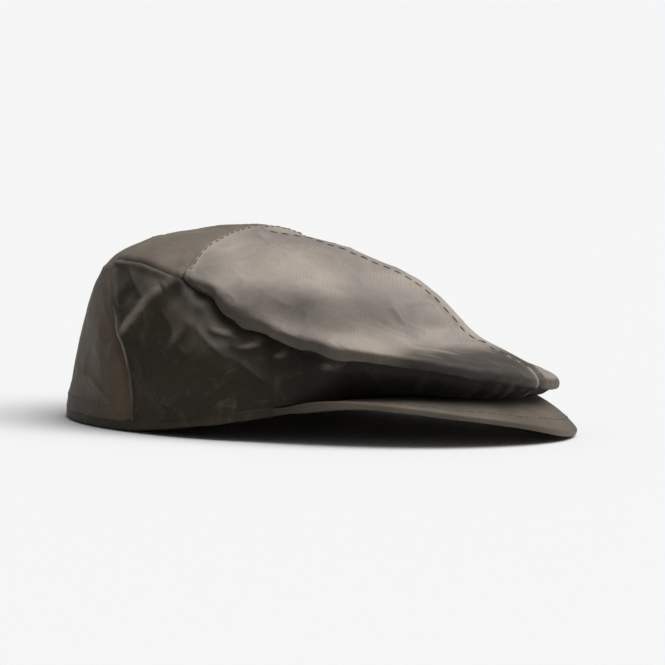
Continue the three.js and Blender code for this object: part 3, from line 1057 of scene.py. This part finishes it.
def crown_relief(points, edges, lines, cloth):
    """How far each point stands proud, its push along the panel's edges, its wear with the painted
    crease highlights, and its painted seam shadow.
    """
    lift, wear_and_highlights, dark = np.zeros((3, len(points)))
    push = np.zeros_like(points)
    for (seam, lie, side, opposite), share in zip(edges, seam_shares(points, edges)):
        far, which = nearest(points, seam)
        share = share * roomy(points, far, edges, lie)
        lift += share * seam_lip(far, lie, side)
        # Painted shadow line along the seam
        dark = np.maximum(dark, seam_shadow(points, far, lie, side))
        if side == "over" and lie != "hemmed":
            wear_and_highlights = np.maximum(wear_and_highlights, rubbed_edge(points, far, lie))
        if lie == "rolled":
            along = seam[which]
            push[:, 2] += share * cloth.jog * jogs_of(along) * bump(far, 0.0, JOG_REACH)
            lift += share * cloth.ripple * puckers(along, far, side)
        if lie == "hemmed":
            push[:, 2] -= HEM_TUCK * bump(far, 0.0, TUCK_WIDTH)
        elif side == "under":
            way = tuck_ways(points, opposite, lie)
            push += way * (share * TUCKS[lie] * bump(far, 0.0, TUCK_WIDTH))[:, None]
    rub = np.clip(CREASE_PALE + uneven(points, "crease paleness"), 0.0, 1.0)
    for start, end, height, width, pale in lines:
        away, along = line_distance(points, start, end)
        tapered = np.sqrt(4.0 * along * (1.0 - along))
        lift += height * tapered * bump(away, 0.0, width)
        # Rubbed pale along the crease, which also paints its highlight
        rubbed_and_highlit = pale * rub * tapered ** 2 * bump(away, 0.0, CREASE_PALE_WIDTH * width)
        wear_and_highlights = np.maximum(wear_and_highlights, rubbed_and_highlit)
    lift += cloth.soft * uneven(points, "soft waves") + cloth.crease * fine_creases(points)
    return lift * MM, push * MM, wear_and_highlights, dark


def roomy(points, far, edges, lie):
    """One where a rolled seam is far enough from the hem, less where the panel is narrow."""
    hems = [seam for seam, other, _, _ in edges if other == "hemmed"]
    if lie != "rolled" or not hems:
        return 1.0
    width = (far + nearest(points, hems[0])[0]) / MM
    return np.clip((width - NARROW) / NARROW_BLEND, 0.0, 1.0)


def tuck_ways(points, opposite, lie):
    """Which way each point is tucked under: to the seam, or along a sharp tip beside it."""
    _, beyond = nearest(points, opposite)
    way = opposite[beyond] - points
    way /= np.linalg.norm(way, axis=1)[:, None]
    if lie != "pointed":
        return way
    tip = opposite[opposite[:, 1].argmax()]
    away = np.linalg.norm(opposite - tip, axis=1)
    inward = opposite[away < TIP_REACH].mean(axis=0) - tip
    inward /= np.linalg.norm(inward)
    beside = bump(np.linalg.norm(points - tip, axis=1), 0.0, TIP_WIDTH)[:, None]
    return way * (1.0 - beside) + inward * beside


def seam_shares(points, edges):
    """How much each seam of a panel counts at each point, so that they blend where they meet."""
    pulls = [
        0.0 if lie == "hemmed" else (nearest(points, seam)[0] / MM + SHARE_BLEND) ** SHARE_POWER
        for seam, lie, _, _ in edges
    ]
    total = sum(pulls)
    return [1.0 if lie == "hemmed" else pull / total for pull, (_, lie, _, _) in zip(pulls, edges)]


class CapDressPanels(bpy.types.Operator):
    """Dresses the five crown panels as soft cloth"""

    bl_idname = "cap.dress_panels"
    bl_label = "Crown panels"

    def execute(self, context):
        cloth, look = context.scene.cap_cloth, context.scene.cap_look
        panels = {}
        for node, (_, levels, _) in PANELS.items():
            panels[node] = refined(outer_cloth(node), node + "_cloth", levels)
        lines = crease_lines(surface_of(*panels.values()))
        edges = seam_edges(panels)
        colours = {"crown_cloth": look.crown, "rear_cloth": look.rear, "side_cloth": look.side}
        finishes = {
            slot: waxed_cotton("waxed_" + slot, tuple(colour), tuple(look.worn), look)
            for slot, colour in colours.items()
        }
        for node, piece in panels.items():
            slot = PANELS[node][0]
            shape_panel(piece.data, node, edges[node], lines, cloth)
            wall = piece.modifiers.new("Wall", "SOLIDIFY")
            wall.thickness = cloth.wall * MM
            wall.offset = -1.0
            finish_piece(piece, node, finishes[slot])
        return {"FINISHED"}


def shape_panel(mesh, node, edges, lines, cloth):
    """Gives a panel its folds and marks its wear with the painted crease highlights, and the light
    and shade painted on it.
    """
    slot, _, light_painting = PANELS[node]
    points, normals = points_of(mesh), normals_of(mesh)
    lift, push, edge_wear_and_highlights, dark = crown_relief(points, edges, lines, cloth)
    mark(mesh, "threads", thread_directions(points, node))
    push = smoothed(mesh, push, PUSH_PASSES)
    move_points(mesh, points + normals * lift[:, None] + push)
    bend = convexity(mesh, PANEL_BENDS["passes"])
    wear_and_highlights = bend_wear(bend, PANEL_BENDS) + edge_wear_and_highlights * EDGE_PALENESS
    mark(mesh, "wear_and_highlights", wear_and_highlights * (1.0 - dark))
    # Painted shade on the side panels under the crown's overhang
    if slot == "side_cloth":
        dark = np.maximum(dark, overhang_shade(points))
    mark_tones(mesh, bend, dark, light_painting)


def bend_wear(bend, rubbing):
    """How far the bends of the cloth are worn."""
    return np.clip(bend * rubbing["strength"], 0, rubbing["most"])


def smooth_solid(node, levels):
    """A closed node, rounded but for its sharp edges."""
    bm = blank_mesh(node)
    joined(bm)
    return refined(bm, node + "_cloth", levels, crease_over=math.radians(SHARP_EDGE))


def dress_solid(node, colour, look):
    """Dresses the peak or the hem in its cloth."""
    slot, levels, lip = SOLIDS[node]
    piece = smooth_solid(node, levels)
    mesh = piece.data
    points, normals = points_of(mesh), normals_of(mesh)
    above = np.clip((points[:, 2] / MM - LEVEL_FOOT) / LEVEL_BLEND, 0.0, 1.0)
    lift = uneven(points, node) * MM * above
    mark(mesh, "threads", thread_directions(points, node))
    moved = points + normals * lift[:, None]
    moved[:, 2] += lip * MM * outer_edge(points, normals)
    move_points(mesh, moved)
    bend = convexity(mesh, SOLID_BENDS["passes"])
    # Painted shade at the peak's ends, under the crown
    dark = peak_end_shade(points) if node == "peak" else np.zeros(len(points))
    mark(mesh, "wear_and_highlights", bend_wear(bend, SOLID_BENDS) * (1.0 - dark))
    mark_tones(mesh, bend, dark, SOLID_PAINTED_LIGHT)
    finish = waxed_cotton("waxed_" + slot, tuple(colour), tuple(look.worn), look)
    finish_piece(piece, node, finish)


def peak_end_shade(points):
    """Painted shade on the peak: most at its ends, under the crown."""
    beyond = np.abs(azimuths_of(points)) - PEAK_SHADE_FROM
    return np.clip(beyond / PEAK_SHADE_BLEND, 0.0, 1.0)


def outer_edge(points, normals):
    """How far each point of the hem belongs to its upper outer edge, from nought to one."""
    away = points - np.array([0.0, AXIS_Y, 0.0])
    away[:, 2] = 0.0
    away /= np.linalg.norm(away, axis=1)[:, None]
    facing_out = (away * normals).sum(axis=1)
    facing_up = np.clip(normals[:, 2] * LIP_UP + LIP_LEVEL, 0, 1)
    return np.clip(facing_out * LIP_OUT, 0, 1) * facing_up


class CapDressPeak(bpy.types.Operator):
    """Dresses the stiff peak in its cloth cover"""

    bl_idname = "cap.dress_peak"
    bl_label = "Peak"

    def execute(self, context):
        look = context.scene.cap_look
        dress_solid("peak", look.peak, look)
        return {"FINISHED"}


class CapDressHem(bpy.types.Operator):
    """Dresses the turned hem round the opening"""

    bl_idname = "cap.dress_hem"
    bl_label = "Turned hem"

    def execute(self, context):
        look = context.scene.cap_look
        dress_solid("hem_band", look.hem, look)
        return {"FINISHED"}


def in_order(points):
    """Points along a seam, from one of its ends to the other."""
    left = list(range(1, len(points)))
    order = deque([0])
    while left:
        ahead = np.linalg.norm(points[left] - points[order[-1]], axis=1)
        behind = np.linalg.norm(points[left] - points[order[0]], axis=1)
        if ahead.min() <= behind.min():
            order.append(left.pop(int(ahead.argmin())))
        else:
            order.appendleft(left.pop(int(behind.argmin())))
    return points[list(order)]


def evenly(path, step, clear):
    """Points at even steps along a path, clear of its ends, with the way it runs at each."""
    runs = np.linalg.norm(np.diff(path, axis=0), axis=1)
    along = np.concatenate([[0.0], np.cumsum(runs)])
    at = np.arange(clear, along[-1] - clear, step)
    spots = np.column_stack([np.interp(at, along, path[:, i]) for i in range(3)])
    ahead = np.column_stack([np.interp(at + step / 4, along, path[:, i]) for i in range(3)])
    behind = np.column_stack([np.interp(at - step / 4, along, path[:, i]) for i in range(3)])
    return zip(spots, ahead - behind)


def add_stitch(bm, spot, run, normal, cloth):
    """One stitch, a rounded bead of thread that sits in the cloth."""
    run = (run - normal * run.dot(normal)).normalized()
    across = normal.cross(run)
    lie = Matrix((run, across, normal)).transposed().to_4x4()
    thick = cloth.thread * MM / 2
    size = Matrix.Diagonal((cloth.stitch * MM / 2, thick, thick, 1.0))
    place = Matrix.Translation(spot + normal * thick * STITCH_PROUD)
    bmesh.ops.create_icosphere(bm, subdivisions=2, radius=1.0, matrix=place @ lie @ size)


def sew_seam(bm, piece, other, cloth):
    """Stitches along a seam, on the panel that laps over."""
    surface = surface_of(piece)
    middle = Vector(points_of(piece.data).mean(axis=0))
    path = in_order(seam_reach(piece.data, other.data))
    rim = rim_points(piece.data)
    for spot, run in evenly(path, (cloth.stitch + cloth.gap) * MM, SEAM_END * MM):
        spot, run = Vector(spot), Vector(run)
        normal = surface.find_nearest(spot)[1]
        inward = normal.cross(run).normalized()
        if inward.dot(middle - spot) < 0:
            inward.negate()
        sewn, normal, _, _ = surface.find_nearest(spot + inward * SEAM_INSET * MM)
        if nearest(np.array([sewn]), rim)[0][0] > RIM_SHARE * SEAM_INSET * MM:
            add_stitch(bm, sewn, run, normal, cloth)


def sew_path(bm, path, cloth):
    """Stitches along a path of (place, normal) pairs on the cloth."""
    places = np.array([spot for spot, _ in path])
    tree = KDTree(len(path))
    for i, (spot, _) in enumerate(path):
        tree.insert(spot, i)
    tree.balance()
    for spot, run in evenly(places, (cloth.stitch + cloth.gap) * MM, cloth.stitch * MM):
        _, i, _ = tree.find(Vector(spot))
        add_stitch(bm, Vector(spot), Vector(run), path[i][1], cloth)


def hem_row(surface, rise):
    """A row round the back panel, a little above the hem, as (place, normal) pairs."""
    hem = points_of(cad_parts["hem_band"].data)
    round_hem = azimuths_of(hem) % 360
    row = []
    for azimuth in np.arange(HEM_ROW_START, 360 - HEM_ROW_START, ROW_STEP):
        near = np.abs(round_hem - azimuth) < EDGE_SEARCH
        height = hem[near, 2].max() + rise * MM
        way = outward(azimuth)
        start = Vector((0.0, AXIS_Y, height)) + way * BEYOND
        spot, normal, _, _ = surface.ray_cast(start, -way)
        if spot:
            row.append((spot, normal))
    return row


def peak_row(peak, inset):
    """A row along the peak's edge, seen from above, as (place, normal) pairs."""
    surface = surface_of(peak)
    points = points_of(peak.data)
    round_peak = azimuths_of(points)
    reach = np.hypot(points[:, 0], points[:, 1] - AXIS_Y)
    row = []
    for azimuth in np.arange(-PEAK_ROW_END, PEAK_ROW_END, ROW_STEP):
        near = np.abs(round_peak - azimuth) < EDGE_SEARCH
        spot = outward(azimuth) * (reach[near].max() - inset * MM)
        start = spot + Vector((0.0, AXIS_Y, ABOVE))
        found, normal, _, _ = surface.ray_cast(start, Vector((0.0, 0.0, -1.0)))
        if found:
            row.append((found, normal))
    return row


class CapSewStitches(bpy.types.Operator):
    """Sews the visible rows of stitches"""

    bl_idname = "cap.sew_stitches"
    bl_label = "Stitches"

    def execute(self, context):
        cloth, look = context.scene.cap_cloth, context.scene.cap_look
        thread = thread_finish(tuple(look.thread))
        crown, hem, peak = bmesh.new(), bmesh.new(), bmesh.new()
        for over, under in SEWN:
            sew_seam(crown, dressed(over), dressed(under), cloth)
        walls = surface_of(*[dressed(node) for node in PANELS])
        sew_path(hem, hem_row(walls, cloth.hem_row), cloth)
        sew_path(peak, peak_row(dressed("peak"), cloth.peak_row), cloth)
        finish_row(crown, "stitching_crown", thread)
        finish_row(hem, "stitching_hem", thread)
        finish_row(peak, "stitching_peak", thread)
        return {"FINISHED"}


def finish_row(bm, name, thread):
    """Makes a row of stitches a piece of its own."""
    piece = piece_of(bm, name)
    piece.data.materials.append(thread)
    piece.data.shade_smooth()
    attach(piece, "root")


class CapSetStage(bpy.types.Operator):
    """Sets the pale floor, the soft lights and the camera"""

    bl_idname = "cap.set_stage"
    bl_label = "Studio"

    def execute(self, context):
        look = context.scene.cap_look
        set_floor(look)
        set_lights(context.scene)
        set_camera(context.scene)
        return {"FINISHED"}


def set_floor(look):
    """A wide round floor."""
    bm = bmesh.new()
    bmesh.ops.create_circle(bm, cap_ends=True, radius=FLOOR_RADIUS, segments=FLOOR_CORNERS)
    floor = piece_of(bm, "floor")
    floor.data.materials.append(floor_finish(tuple(look.floor)))


def set_lights(scene):
    """The soft lights and the pale surroundings."""
    for name, source, spread, strength in LIGHTS:
        lamp = bpy.data.lights.new(name, "SUN")
        lamp.angle = math.radians(spread)
        lamp.energy = strength
        light = bpy.data.objects.new(name, lamp)
        light.location = source
        light.rotation_euler = Vector(source).to_track_quat("Z", "Y").to_euler()
        scene.collection.objects.link(light)
    world = bpy.data.worlds.new("studio")
    world.use_nodes = True
    sky = world.node_tree.nodes["Background"]
    sky.inputs["Color"].default_value = SKY
    sky.inputs["Strength"].default_value = SKY_STRENGTH
    scene.world = world
    scene.view_settings.view_transform = "Standard"


def set_camera(scene):
    """The camera at the wearer's right front, leaned a little to one side."""
    across, up, towards = turned_view(VIEW_AZIMUTH, VIEW_ELEVATION)
    roll = math.radians(VIEW_ROLL)
    leaned_across = across * math.cos(roll) + up * math.sin(roll)
    leaned_up = up * math.cos(roll) - across * math.sin(roll)
    lens = bpy.data.cameras.new("camera")
    lens.sensor_width = SENSOR_WIDTH
    lens.lens = SENSOR_WIDTH * CAMERA_DISTANCE / FRAME_WIDTH
    camera = bpy.data.objects.new("camera", lens)
    turn = Matrix((leaned_across, leaned_up, towards)).transposed()
    aim = Vector((0.0, 0.0, AIM_HEIGHT)) + across * AIM_ACROSS
    camera.matrix_world = Matrix.Translation(aim + towards * CAMERA_DISTANCE) @ turn.to_4x4()
    scene.collection.objects.link(camera)
    scene.camera = camera


class CapPanel(bpy.types.Panel):
    """Lists the steps that dress the cap"""

    bl_idname = "VIEW3D_PT_cap"
    bl_label = "Waxed flat cap"
    bl_space_type = "VIEW_3D"
    bl_region_type = "UI"
    bl_category = "Cap"

    def draw(self, context):
        for step in STEPS:
            self.layout.operator(step.bl_idname)
        for group in (context.scene.cap_cloth, context.scene.cap_look):
            for name in group.bl_rna.properties.keys():
                if name not in ("rna_type", "name"):
                    self.layout.prop(group, name)


STEPS = (CapDressPanels, CapDressPeak, CapDressHem, CapSewStitches, CapSetStage)
CLASSES = (CapClothSettings, CapLookSettings) + STEPS + (CapPanel,)


def register():
    """Adds the settings, the steps and the panel."""
    for each in CLASSES:
        bpy.utils.register_class(each)
    bpy.types.Scene.cap_cloth = PointerProperty(type=CapClothSettings)
    bpy.types.Scene.cap_look = PointerProperty(type=CapLookSettings)


def unregister():
    """Takes the settings, the steps and the panel away again."""
    del bpy.types.Scene.cap_look
    del bpy.types.Scene.cap_cloth
    for each in reversed(CLASSES):
        bpy.utils.unregister_class(each)


def main():
    """Dresses the cap, step by step."""
    register()
    bpy.ops.cap.dress_panels()
    bpy.ops.cap.dress_peak()
    bpy.ops.cap.dress_hem()
    bpy.ops.cap.sew_stitches()
    bpy.ops.cap.set_stage()


if __name__ == "__main__":
    main()
